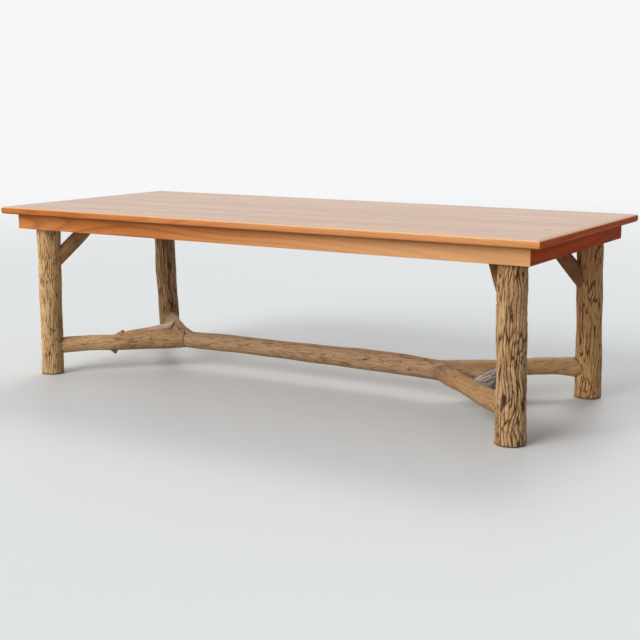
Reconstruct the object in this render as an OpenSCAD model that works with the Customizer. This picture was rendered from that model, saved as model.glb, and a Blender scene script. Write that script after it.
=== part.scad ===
/* [Table] */
// Overall length of the table along X
table_l = 2440; // [2200:20:3000]
// Overall width of the table along Y
table_w = 1080; // [960:20:1300]
// Overall height from the floor to the top surface
table_h = 740; // [700:5:780]

/* [Top] */
// Thickness of the top
top_t = 30; // [26:1:40]
// Number of boards glued side by side
board_count = 8; // [6:1:10]
// Width of the mitred edging
edging_w = 22; // [18:1:40]
// Radius of the edging's upper arris
edging_round = 9; // [4:0.5:12]
// Radius of the edging's lower arris
edging_ease = 10; // [1:0.5:12]
// Thickness of the tongue round the glued panel
tongue_t = 8; // [5:1:12]
// Length of the tongue in the edging's groove
tongue_l = 9; // [5:1:12]

/* [Apron] */
// Height of the apron boards
apron_h = 65; // [50:1:90]
// Thickness of the apron boards
apron_t = 24; // [18:1:32]
// How far the top overhangs the apron
overhang = 50; // [30:2:70]
// Side of the three-cornered glue blocks behind the apron
block_w = 24; // [16:1:30]
// Length of the glue blocks
block_l = 120; // [60:10:160]

/* [Underside] */
// Thickness of the end cleats and the cross battens
cleat_t = 28; // [22:1:36]
// Width of the end cleats that carry legs and braces
cleat_w = 258; // [240:2:300]
// Width of the cross battens
batten_w = 90; // [60:5:140]
// Number of cross battens between the end cleats
batten_count = 3; // [1:1:5]

/* [Legs] */
// Distance of the leg centres from the edges of the top
leg_inset = 137; // [134:1:150]
// Diameter of the front left leg at the floor
leg_fl_foot_d = 98; // [80:1:130]
// Diameter of the front left leg at its head
leg_fl_head_d = 103; // [80:1:118]
// Diameter of the front right leg at the floor
leg_fr_foot_d = 113; // [80:1:130]
// Diameter of the front right leg at its head
leg_fr_head_d = 105; // [80:1:118]
// Diameter of the rear left leg at the floor
leg_rl_foot_d = 100; // [80:1:130]
// Diameter of the rear left leg at its head
leg_rl_head_d = 98; // [80:1:118]
// Diameter of the rear right leg at the floor
leg_rr_foot_d = 111; // [80:1:130]
// Diameter of the rear right leg at its head
leg_rr_head_d = 104; // [80:1:118]

/* [Stretchers] */
// Height of the stretcher logs' centres
stretcher_z = 127; // [100:1:200]
// Diameter of the long stretcher at its crook
main_crook_d = 76; // [60:1:90]
// Diameter of the long stretcher at its thickest, right of the middle
main_belly_d = 89; // [70:1:100]
// Diameter of the long stretcher at its right end
main_end_d = 66; // [56:1:70]
// Diameter of the front left limb beside its leg
limb_fl_d = 70; // [54:1:78]
// Diameter of the front left limb at the burl before the long stretcher
limb_fl_burl_d = 86; // [70:1:96]
// Diameter of the front right limb
limb_fr_d = 76; // [60:1:78]
// Diameter of the front right limb's thin end on the long stretcher
limb_fr_end_d = 48; // [40:1:64]
// Diameter of the rear right limb
limb_rr_d = 70; // [60:1:76]
// Diameter of the rear right limb's flared end at its leg
limb_rr_flare_d = 92; // [70:1:96]
// Diameter of the rung between the two right limbs
rung_d = 68; // [56:1:70]
// How far right of the left legs the crook lies
crook_reach = 393; // [340:1:480]
// How far left of the right legs the right limbs meet the long stretcher
fork_reach = 500; // [440:1:560]
// How far left of the right legs the rung crosses
rung_reach = 238; // [200:1:280]

/* [Braces] */
// Diameter of the braces at the legs
brace_leg_d = 66; // [50:1:74]
// Diameter of the braces under the top
brace_top_d = 56; // [44:1:66]
// How far under the cleats a brace's centre line meets its leg's centre
brace_drop = 208; // [180:2:240]
// Rise of the braces for each mm of run
brace_slope = 1; // [0.9:0.05:1.3]
// How much higher the rear left brace meets its leg
brace_rl_lift = 54; // [0:2:70]
// How much lower the rear right brace meets its leg
brace_rr_drop = 36; // [0:2:60]
// Extra rise of the rear right brace for each mm of run
brace_rr_extra = 0.2; // [0:0.05:0.3]

/* [Joinery] */
// Diameter of the round tenons in the legs
tenon_d = 32; // [24:1:40]
// Depth of the round tenons in the legs
tenon_l = 34; // [24:1:40]
// Diameter of the round tenons where log meets log
lap_tenon_d = 25; // [18:1:30]
// Depth of the round tenons where log meets log
lap_tenon_l = 22; // [14:1:26]
// Gap all round between a tenon and its mortise
fit = 0.25; // [0.1:0.05:0.4]

/* [Hardware] */
// Diameter of the lag bolts in the leg heads
bolt_d = 10; // [8:1:12]
// Length of the lag bolts under their heads
bolt_l = 110; // [80:5:140]
// Outer diameter of the bolts' washers
washer_d = 30; // [24:1:40]
// Thickness of the washers
washer_t = 2; // [1.5:0.5:3]
// Diameter of the wood screws
screw_d = 5; // [4:0.5:6]
// Length of the wood screws
screw_l = 45; // [36:1:50]
// Diameter of the brace screws
brace_screw_d = 8; // [6:0.5:10]
// Length of the brace screws
brace_screw_l = 50; // [44:2:54]

/* [Hidden] */
BOARDS = [for (i = [1:board_count]) str("top_board_", i)];
BATTENS = [for (i = [1:batten_count]) str("cross_batten_", i)];
SIDES = ["front", "right", "back", "left"];
CORNERS = ["front_left", "front_right", "rear_left", "rear_right"];

// Colours of the finishes
oak = "#c9803f";
oak_edge = "#b5652c";
plain_wood = "#d9b98c";
bark = "#8f7452";
smooth_bark = "#a8825a";
peeled = "#8d7a6a";
steel = "#9a9c9e";

// Roundness of bores, arcs and screws
$fn = 48;
// Sides of a log's section, and steps between two of its stations
log_sides = 20;
log_steps = 3;
// How far a log's section swells and shrinks from round
lobe = 0.02;

// Heights of the layers, from the top down
top_z = table_h - top_t;
cleat_z = top_z - cleat_t;
apron_z = top_z - apron_h;
brace_z = cleat_z - brace_drop;

// Panel of boards inside the edging
panel_l = table_l - 2 * edging_w;
panel_w = table_w - 2 * edging_w;
board_w = panel_w / board_count;
tongue_z = table_h - top_t / 2 - tongue_t / 2;

// Faces of the apron
apron_x = table_l / 2 - overhang;
apron_y = table_w / 2 - overhang;
bay_x = apron_x - apron_t;
bay_y = apron_y - apron_t;

// Cleats and battens: inner edge of the end cleats, and the battens' spacing
cleat_x = bay_x - cleat_w;
batten_pitch = 2 * cleat_x / (batten_count + 1);
screw_margin = 40;

// Places of the legs' centres
leg_x = table_l / 2 - leg_inset;
leg_y = table_w / 2 - leg_inset;

// The legs: sides along X and Y, offsets of foot and head, diameters, turn of the lobes
LEGS = [
    [-1, -1, [-3, -2], [1, 1], leg_fl_foot_d, leg_fl_head_d, 20],
    [1, -1, [0, 0], [-8, -7], leg_fr_foot_d, leg_fr_head_d, 110],
    [-1, 1, [12, 8], [-9, -5], leg_rl_foot_d, leg_rl_head_d, 200],
    [1, 1, [5, 3], [-9, -5], leg_rr_foot_d, leg_rr_head_d, 290]
];
// Slight waist of a leg, as a change of diameter from the floor up
leg_waist = [0, -3, -1, 0];

// Points on a leg's centre line, and its diameter there
function leg_base(i) = [LEGS[i][0] * leg_x, LEGS[i][1] * leg_y];
function leg_point(i, z) =
    let (p = leg_base(i) + LEGS[i][2] + (LEGS[i][3] - LEGS[i][2]) * z / cleat_z) [p[0], p[1], z];
function leg_d(i, z) = LEGS[i][4] + (LEGS[i][5] - LEGS[i][4]) * z / cleat_z;
function leg_stations(i) = [
    for (k = [0:3]) let (z = cleat_z * k / 3) concat(leg_point(i, z), leg_d(i, z) + leg_waist[k])
];

// Places along the stretchers
crook_x = -leg_x + crook_reach;
fork_x = leg_x - fork_reach;
rung_x = leg_x - rung_reach;
function seat(i) = leg_point(i, stretcher_z);
function span(t, y, d) = [crook_x + (fork_x - crook_x) * t, y, stretcher_z, d];

// Stations of the logs: x, y, z and diameter
main_log = [
    concat(seat(2) - [0, 0, 5], main_crook_d + 4),
    [crook_x - 190, 212, stretcher_z, main_crook_d - 2],
    [crook_x, 42, stretcher_z, main_crook_d],
    [crook_x + 75, 5, stretcher_z, main_crook_d],
    span(0.28, 27, main_crook_d),
    span(0.51, 31, main_crook_d + 3),
    span(0.71, 42, main_belly_d - 3),
    span(0.86, 42, main_belly_d),
    span(1, 20, main_belly_d - 8),
    [fork_x + 110, 6, stretcher_z, main_belly_d - 14],
    [rung_x - 50, 14, stretcher_z, main_end_d + 5],
    [rung_x, 14, stretcher_z, main_end_d - 6]
];
front_left_log = [
    concat(seat(0) - [0, 0, 6], limb_fl_d),
    [crook_x - 275, -275, stretcher_z, limb_fl_d - 1],
    [crook_x - 195, -205, stretcher_z - 1, limb_fl_d],
    [crook_x - 110, -112, stretcher_z + 3, limb_fl_burl_d],
    [crook_x - 25, -42, stretcher_z + 2, limb_fl_burl_d - 2],
    [crook_x + 46, 14, stretcher_z, main_crook_d - 6]
];
front_right_log = [
    concat(seat(1), limb_fr_d - 2),
    [rung_x + 120, -308, stretcher_z - 3, limb_fr_d - 1],
    [rung_x - 43, -176, stretcher_z + 5, limb_fr_d - 5],
    [fork_x + 90, -60, stretcher_z + 3, limb_fr_d - 2],
    [fork_x + 4, 22, stretcher_z - 8, limb_fr_end_d]
];
rear_right_log = [
    concat(seat(3) - [0, 0, 6], limb_rr_flare_d),
    [rung_x + 145, 341, stretcher_z + 2, limb_rr_d],
    [rung_x + 84, 301, stretcher_z + 3, limb_rr_d],
    [rung_x - 20, 218, stretcher_z - 1, limb_rr_d - 4],
    [fork_x + 30, 68, stretcher_z - 1, limb_rr_d + 2],
    [fork_x - 20, 26, stretcher_z, limb_rr_d]
];
rung_log = [
    [rung_x + 8, -212, stretcher_z, rung_d + 2],
    [rung_x + 3, -70, stretcher_z, rung_d + 1],
    [rung_x - 2, 80, stretcher_z, rung_d - 1],
    [rung_x - 7, 228, stretcher_z, rung_d - 3]
];

// The braces run inward at 45 degrees in plan
function brace_start(i) = leg_point(i, brace_z + (i == 2 ? brace_rl_lift : i == 3 ? -brace_rr_drop : 0));
function brace_rise(i) = i == 3 ? brace_slope + brace_rr_extra : brace_slope;
function brace_dir(i) = unit([-LEGS[i][0], -LEGS[i][1], brace_rise(i) * sqrt(2)]);
function brace_at(i, z) = brace_start(i) + brace_dir(i) * (z - brace_start(i)[2]) / brace_dir(i)[2];
function brace_log(i) = [
    concat(brace_start(i), brace_leg_d),
    concat(brace_at(i, (brace_start(i)[2] + cleat_z) / 2), (brace_leg_d + brace_top_d) / 2 + 1),
    concat(brace_at(i, cleat_z), brace_top_d),
    concat(brace_at(i, cleat_z + brace_top_d), brace_top_d)
];
// Stump of a broken branch on the front left limb: its two ends on the centre line, and its diameter
stump_foot = [crook_x - 165, -185, stretcher_z + 17];
stump_head = [crook_x - 42, 3, stretcher_z + 53];
stump_d = 32;
// Snags above and below that limb: foot inside the log, length, and diameters of foot and tip
snag_up = [crook_x - 178, -190, stretcher_z + limb_fl_d / 2 - 8];
snag_up_l = 21;
snag_down = [crook_x - 206, -216, stretcher_z - limb_fl_d / 2 + 8];
snag_down_l = 29;
snag_foot_d = 36;
snag_tip_d = 11;

// Wood between a brace screw's head and the cleat
brace_grip = 30;
// Head of the brace screws
brace_head_d = 18;
brace_head_t = 5;

// Bolt heads and their recess in the end cleats
bolt_head_t = 6.5;
bolt_head_w = 17;
recess_deep = bolt_head_t + washer_t + 1;
// Countersunk heads of the wood screws, and the room round their shanks
screw_head_d = 2 * screw_d;
screw_slack = 0.1;
// Rows of screws in the end cleats, places of the battens, and the boards' middles
cleat_rows = [cleat_x + screw_margin, bay_x - screw_margin];
batten_places = [for (b = [1:batten_count]) -cleat_x + batten_pitch * b];
board_places = [for (i = [0:board_count - 1]) -panel_w / 2 + board_w * (i + 0.5)];

function unit(v) = v / norm(v);

// A smooth curve through stations, by Catmull-Rom blending
function near(s, i) = s[max(0, min(len(s) - 1, i))];
function blend(a, b, c, d, t) =
    0.5 * (2 * b + (c - a) * t + (2 * a - 5 * b + 4 * c - d) * t * t + (3 * b - 3 * c + d - a) * t * t * t);
function curve(s) = concat(
    [for (i = [0:len(s) - 2], k = [0:log_steps - 1])
        blend(near(s, i - 1), near(s, i), near(s, i + 1), near(s, i + 2), k / log_steps)],
    [s[len(s) - 1]]
);
function place(q) = [q[0], q[1], q[2]];
function heading(c, i, upright) =
    upright ? [0, 0, 1] : unit(place(near(c, i + 1)) - place(near(c, i - 1)));

// One ring of a log, clockwise about its heading
function ring(q, t, grow, turn) =
    let (
        side = unit(cross(t, abs(t[2]) > 0.9 ? [0, 1, 0] : [0, 0, 1])),
        up = cross(side, t)
    )
    [for (k = [0:log_sides - 1])
        let (
            a = 360 * k / log_sides,
            r = q[3] / 2 * (1 + lobe * (0.6 * sin(2 * a + turn) + 0.4 * sin(3 * a - turn))) + grow
        )
        place(q) + r * (cos(a) * side + sin(a) * up)];

// A log lofted along its stations, from station first to station last
module log_loft(stations, turn = 0, upright = false, grow = 0, first = 0, last = 99) {
    c = curve(stations);
    i0 = first * log_steps;
    i1 = min(last, len(stations) - 1) * log_steps;
    n = i1 - i0;
    points = [for (i = [i0:i1]) each ring(c[i], heading(c, i, upright), grow, turn)];
    walls = [for (i = [0:n - 1], k = [0:log_sides - 1])
        let (
            a = i * log_sides + k,
            b = i * log_sides + (k + 1) % log_sides
        )
        each [[a, b, b + log_sides], [a, b + log_sides, a + log_sides]]];
    start_cap = [[for (k = [log_sides - 1:-1:0]) k]];
    end_cap = [[for (k = [0:log_sides - 1]) n * log_sides + k]];
    polyhedron(points = points, faces = concat(start_cap, walls, end_cap), convexity = 6);
}

// A round bar from one point to another
module rod(a, b, d) {
    v = b - a;
    translate(a)
        rotate([0, acos(v[2] / norm(v)), atan2(v[1], v[0])])
            cylinder(h = norm(v), d = d);
}

// Direction in which a log leaves its first or its last station
function out_of_start(s) = let (c = curve(s)) unit(place(c[1]) - place(c[0]));
function out_of_end(s) = let (c = curve(s), n = len(c) - 1) unit(place(c[n - 1]) - place(c[n]));

// The tenon of a log in the log that it meets: p lies on the other log's centre line,
// way points along the tenon's own log, and skin is the way from p to the other log's surface
module tenon(p, way, skin, d, deep, slack = 0) {
    rod(p + way * (skin - deep - slack), p + way * (skin + d), d + 2 * slack);
}

// Way along a tenon from the centre of a round log to its surface, where the tenon's axis
// leans by an angle whose sine is s from square to the other log
function skin_of(d, s) = d / 2 / s;

// Where the logs' centre lines meet each other: direction of the log that is met
function run_of(s, a, b) = unit(place(s[b]) - place(s[a]));
function lean(way, axis) = norm(cross(way, axis));

// Way along which each leg's stretcher or limb leaves it
function leg_way(i) =
    i == 0 ? out_of_start(front_left_log) :
    i == 1 ? out_of_start(front_right_log) :
    i == 2 ? out_of_start(main_log) :
    out_of_start(rear_right_log);

// Tenon of a stretcher or limb in leg i, or its mortise where slack is given
module leg_tenon(i, slack = 0) {
    tenon(seat(i), leg_way(i), leg_d(i, stretcher_z) / 2, tenon_d, tenon_l, slack);
}

// Tenon of a brace in leg i, or its mortise
module brace_tenon(i, slack = 0) {
    skin = skin_of(leg_d(i, brace_z), norm([brace_dir(i)[0], brace_dir(i)[1]]));
    tenon(brace_start(i), brace_dir(i), skin, lap_tenon_d, tenon_l, slack);
}

// Tenons of log in log, or their mortises
module limb_end_tenon(log, met, a, b, met_d, slack = 0) {
    way = out_of_end(log);
    end = place(log[len(log) - 1]);
    tenon(end, way, skin_of(met_d, lean(way, run_of(met, a, b))), lap_tenon_d, lap_tenon_l, slack);
}
module front_left_tenon(slack = 0) {
    limb_end_tenon(front_left_log, main_log, 2, 3, main_crook_d, slack);
}
module front_right_tenon(slack = 0) {
    limb_end_tenon(front_right_log, main_log, 7, 8, main_belly_d - 8, slack);
}
module rear_right_tenon(slack = 0) {
    limb_end_tenon(rear_right_log, main_log, 7, 8, main_belly_d - 8, slack);
}
module main_end_tenon(slack = 0) {
    limb_end_tenon(main_log, rung_log, 1, 2, rung_d, slack);
}
module rung_rear_tenon(slack = 0) {
    limb_end_tenon(rung_log, rear_right_log, 2, 3, rear_right_log[3][3], slack);
}
module rung_front_tenon(slack = 0) {
    way = out_of_start(rung_log);
    skin = skin_of(front_right_log[2][3], lean(way, run_of(front_right_log, 1, 2)));
    tenon(place(rung_log[0]), way, skin, lap_tenon_d, lap_tenon_l, slack);
}

// Turns of the lobes of each log
main_turn = 35;
front_left_turn = 80;
front_right_turn = 150;
rear_right_turn = 10;
rung_turn = 60;
brace_turn = 40;

// Lengths of a leg, for coping what meets it
module leg_cope(i, first, last) {
    log_loft(leg_stations(i), LEGS[i][6], true, fit, first, last);
}

// A board of the top, with its share of the tongue
module top_board(i) {
    y = -panel_w / 2 + (i - 1) * board_w;
    front_tongue = i == 1 ? tongue_l : 0;
    back_tongue = i == board_count ? tongue_l : 0;
    color(oak)
        difference() {
            union() {
                translate([-panel_l / 2, y, top_z])
                    cube([panel_l, board_w, top_t]);
                translate([-panel_l / 2 - tongue_l, y - front_tongue, tongue_z])
                    cube([panel_l + 2 * tongue_l, board_w + front_tongue + back_tongue, tongue_t]);
            }
            for (x = [for (r = cleat_rows) each [-r, r]]) at_screw(x, y + board_w / 2) wood_screw(screw_slack);
            for (x = batten_places) at_screw(x, y + board_w / 2) wood_screw(screw_slack);
        }
}

// Solid edging, mitred at the corners: section with its outer face at x = 0
module edging_section() {
    groove_t = tongue_t + 2 * fit;
    groove_l = tongue_l + 2 * fit;
    difference() {
        square([edging_w, top_t]);
        difference() {
            translate([-1, top_t - edging_round]) square(edging_round + 1);
            translate([edging_round, top_t - edging_round]) circle(edging_round);
        }
        difference() {
            translate([-1, -1]) square(edging_ease + 1);
            translate([edging_ease, edging_ease]) circle(edging_ease);
        }
        translate([edging_w - groove_l, (top_t - groove_t) / 2]) square([groove_l + 1, groove_t]);
    }
}

// A length along one side of the table with mitred ends, its outer face at y = 0
module mitred(length, width, height) {
    linear_extrude(height)
        polygon([[-length / 2, 0], [length / 2, 0], [length / 2 - width, width], [-length / 2 + width, width]]);
}

// Turns a length of the front side to side k: front, right, back or left
module on_side(k, reach_x, reach_y, z) {
    rotate([0, 0, 90 * k])
        translate([0, k % 2 == 0 ? -reach_y : -reach_x, z])
            children();
}

module edging(k) {
    length = k % 2 == 0 ? table_l : table_w;
    color(oak_edge)
        on_side(k, table_l / 2, table_w / 2, top_z)
            intersection() {
                rotate([90, 0, 90]) linear_extrude(length, center = true) edging_section();
                mitred(length, edging_w, top_t);
            }
}

module apron(k) {
    color(oak_edge)
        on_side(k, apron_x, apron_y, apron_z)
            mitred(2 * (k % 2 == 0 ? apron_x : apron_y), apron_t, apron_h);
}

// Triangular glue blocks in the corner between the long aprons and the top
module glue_blocks() {
    color(plain_wood)
        for (k = [0, 2], bay = [0:batten_count])
            on_side(k, bay_x, bay_y, top_z)
                translate([-cleat_x + batten_pitch * (bay + 0.5) - block_l / 2, 0, 0])
                    rotate([90, 0, 90])
                        linear_extrude(block_l)
                            polygon([[0, 0], [block_w, 0], [0, -block_w]]);
}

// A countersunk wood screw, head down at the origin, or its hole where slack is given
module wood_screw(slack = 0) {
    d = screw_d + 2 * slack;
    sink = (screw_head_d - screw_d) / 2;
    cylinder(d1 = screw_head_d + 2 * slack, d2 = d, h = sink);
    cylinder(d = d, h = screw_l - screw_d);
    translate([0, 0, screw_l - screw_d]) cylinder(d1 = d, d2 = 1, h = screw_d + slack);
}
module at_screw(x, y) {
    translate([x, y, cleat_z]) children();
}

// The end cleat that takes the leg heads and the braces
module end_cleat(side) {
    color(plain_wood)
        difference() {
            translate([side > 0 ? cleat_x : -bay_x, -bay_y, cleat_z])
                cube([cleat_w, 2 * bay_y, cleat_t]);
            for (i = [0:3]) if (LEGS[i][0] == side) {
                translate(leg_point(i, cleat_z) - [0, 0, 1]) cylinder(d = bolt_d + 1, h = cleat_t + 2);
                translate(leg_point(i, cleat_z) + [0, 0, cleat_t - recess_deep])
                    cylinder(d = washer_d + 2, h = recess_deep + 1);
                brace_screw(i, screw_slack);
            }
            for (x = cleat_rows, y = board_places) at_screw(side * x, y) wood_screw(screw_slack);
        }
}

// A cross batten under the boards
module cross_batten(b) {
    color(plain_wood)
        difference() {
            translate([batten_places[b - 1] - batten_w / 2, -bay_y, cleat_z])
                cube([batten_w, 2 * bay_y, cleat_t]);
            for (y = board_places) at_screw(batten_places[b - 1], y) wood_screw(screw_slack);
        }
}

// A leg: a log with mortises for its stretcher and brace, and a pilot hole in its head
module leg(i) {
    color(bark)
        difference() {
            log_loft(leg_stations(i), LEGS[i][6], true);
            leg_tenon(i, fit);
            brace_tenon(i, fit);
            leg_bolt(i, screw_slack);
        }
}

// The long stretcher, with its natural crook into the rear left leg
module stretcher_main() {
    color(bark)
        difference() {
            union() {
                difference() {
                    log_loft(main_log, main_turn);
                    leg_cope(2, 0, 1);
                    log_loft(rung_log, rung_turn, grow = fit, first = 1, last = 2);
                }
                leg_tenon(2);
                main_end_tenon();
            }
            front_left_tenon(fit);
            front_right_tenon(fit);
            rear_right_tenon(fit);
        }
}

module limb_front_left() {
    color(bark) {
        difference() {
            union() {
                log_loft(front_left_log, front_left_turn);
                limb_stubs();
            }
            leg_cope(0, 0, 1);
            log_loft(main_log, main_turn, grow = fit, first = 1, last = 4);
        }
        leg_tenon(0);
        front_left_tenon();
    }
}

// Stump of a broken branch, and a snag above and below, on the front left limb
module limb_stubs() {
    rod(stump_foot, stump_head, stump_d);
    translate(snag_up) cylinder(d1 = snag_foot_d, d2 = snag_tip_d, h = snag_up_l);
    translate(snag_down) mirror([0, 0, 1]) cylinder(d1 = snag_foot_d, d2 = snag_tip_d, h = snag_down_l);
}

module limb_front_right() {
    color(smooth_bark)
        difference() {
            union() {
                difference() {
                    log_loft(front_right_log, front_right_turn);
                    leg_cope(1, 0, 1);
                    log_loft(main_log, main_turn, grow = fit, first = 6, last = 10);
                }
                leg_tenon(1);
                front_right_tenon();
            }
            rung_front_tenon(fit);
        }
}

module limb_rear_right() {
    color(bark)
        difference() {
            union() {
                difference() {
                    log_loft(rear_right_log, rear_right_turn);
                    leg_cope(3, 0, 1);
                    log_loft(main_log, main_turn, grow = fit, first = 6, last = 9);
                }
                leg_tenon(3);
                rear_right_tenon();
            }
            rung_rear_tenon(fit);
        }
}

// The rung between the two right limbs, which the long stretcher's end meets
module rung() {
    color(peeled)
        difference() {
            union() {
                difference() {
                    log_loft(rung_log, rung_turn);
                    log_loft(front_right_log, front_right_turn, grow = fit, first = 1, last = 3);
                    log_loft(rear_right_log, rear_right_turn, grow = fit, first = 2, last = 4);
                }
                rung_front_tenon();
                rung_rear_tenon();
            }
            main_end_tenon(fit);
        }
}

// A brace: coped and tenoned into its leg, sawn flat under the end cleat
module brace(i) {
    color(smooth_bark)
        difference() {
            union() {
                difference() {
                    log_loft(brace_log(i), brace_turn + 70 * i);
                    leg_cope(i, 1, 3);
                }
                brace_tenon(i);
            }
            translate(brace_at(i, cleat_z) + [-150, -150, 0]) cube([300, 300, 150]);
            brace_screw(i, screw_slack);
        }
}

// Screw up through a brace's head into the end cleat, or its hole with the head's recess
module brace_screw(i, slack = 0) {
    translate(brace_at(i, cleat_z) - [0, 0, brace_grip]) {
        cylinder(d = brace_screw_d + 2 * slack, h = brace_screw_l + slack);
        if (slack > 0)
            translate([0, 0, -2 * brace_top_d]) cylinder(d = brace_head_d + 2, h = 2 * brace_top_d);
        else
            translate([0, 0, -brace_head_t]) cylinder(d = brace_head_d, h = brace_head_t);
    }
}

// Lag bolt in leg i, or its pilot hole
module leg_bolt(i, slack = 0) {
    seat_z = top_z - recess_deep + washer_t;
    p = leg_point(i, cleat_z);
    translate([p[0], p[1], seat_z - bolt_l - slack]) cylinder(d = bolt_d + 2 * slack, h = bolt_l + slack);
    if (slack == 0) translate([p[0], p[1], seat_z]) cylinder(d = bolt_head_w / cos(30), h = bolt_head_t, $fn = 6);
}

module leg_bolts() {
    color(steel) for (i = [0:3]) leg_bolt(i);
}

module leg_washers() {
    color(steel)
        for (i = [0:3])
            translate(leg_point(i, cleat_z) + [0, 0, cleat_t - recess_deep])
                difference() {
                    cylinder(d = washer_d, h = washer_t);
                    translate([0, 0, -1]) cylinder(d = bolt_d + 1, h = washer_t + 2);
                }
}

module cleat_screws() {
    color(steel)
        for (x = cleat_rows, side = [-1, 1], y = board_places) at_screw(side * x, y) wood_screw();
}

module batten_screws() {
    color(steel)
        for (x = batten_places, y = board_places) at_screw(x, y) wood_screw();
}

module brace_screws() {
    color(steel) for (i = [0:3]) brace_screw(i);
}

for (i = [1:board_count]) top_board(i);
for (k = [0:3]) edging(k);
for (k = [0:3]) apron(k);
glue_blocks();
end_cleat(-1);  // end_cleat_left
end_cleat(1);  // end_cleat_right
for (b = [1:batten_count]) cross_batten(b);
for (i = [0:3]) leg(i);
stretcher_main();
limb_front_left();
limb_front_right();
limb_rear_right();
rung();
for (i = [0:3]) brace(i);
leg_bolts();
leg_washers();
cleat_screws();
batten_screws();
brace_screws();
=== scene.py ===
import bpy
import math
import numpy as np
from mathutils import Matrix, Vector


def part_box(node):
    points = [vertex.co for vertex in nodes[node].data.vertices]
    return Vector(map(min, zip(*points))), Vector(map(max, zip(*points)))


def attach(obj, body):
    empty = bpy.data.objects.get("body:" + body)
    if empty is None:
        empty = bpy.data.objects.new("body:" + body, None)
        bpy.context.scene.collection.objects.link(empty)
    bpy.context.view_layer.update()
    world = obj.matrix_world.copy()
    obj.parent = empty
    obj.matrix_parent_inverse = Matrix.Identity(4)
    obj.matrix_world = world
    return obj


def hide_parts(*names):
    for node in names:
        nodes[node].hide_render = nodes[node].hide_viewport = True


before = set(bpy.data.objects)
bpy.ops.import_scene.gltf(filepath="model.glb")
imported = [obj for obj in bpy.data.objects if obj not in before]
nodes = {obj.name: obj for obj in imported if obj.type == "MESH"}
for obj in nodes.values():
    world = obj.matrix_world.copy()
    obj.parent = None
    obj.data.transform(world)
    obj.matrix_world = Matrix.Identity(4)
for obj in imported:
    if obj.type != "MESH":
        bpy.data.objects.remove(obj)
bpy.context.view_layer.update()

# The glued top: eight oak boards laid side by side, their grain along the table,
# sanded flat and finished with a satin varnish. The solids are true; they get the wood.
board_count = 8
board_low, board_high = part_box("top_board_1")[0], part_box("top_board_8")[1]
tongue = 0.009
board_w = (board_high.y - board_low.y - 2 * tongue) / board_count
# Small knots of the top: place on the table and radius in metres, and how far they bend the grain
top_knots = [(-0.773, 0.204, 0.012, 1.0), (-0.300, 0.176, 0.010, 0.8), (0.346, 0.030, 0.011, 0.9),
             (0.420, 0.058, 0.009, 0.7), (0.905, -0.310, 0.008, 0.6), (-0.560, -0.330, 0.009, 0.7)]


def seen(r, g, b):
    """A colour as it is seen, 0 to 255, turned into the linear colour that the shader takes."""
    c = np.array([r, g, b]) / 255
    return (*np.where(c < 0.0405, c / 12.92, ((c + 0.055) / 1.055) ** 2.4), 1.0)


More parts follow.
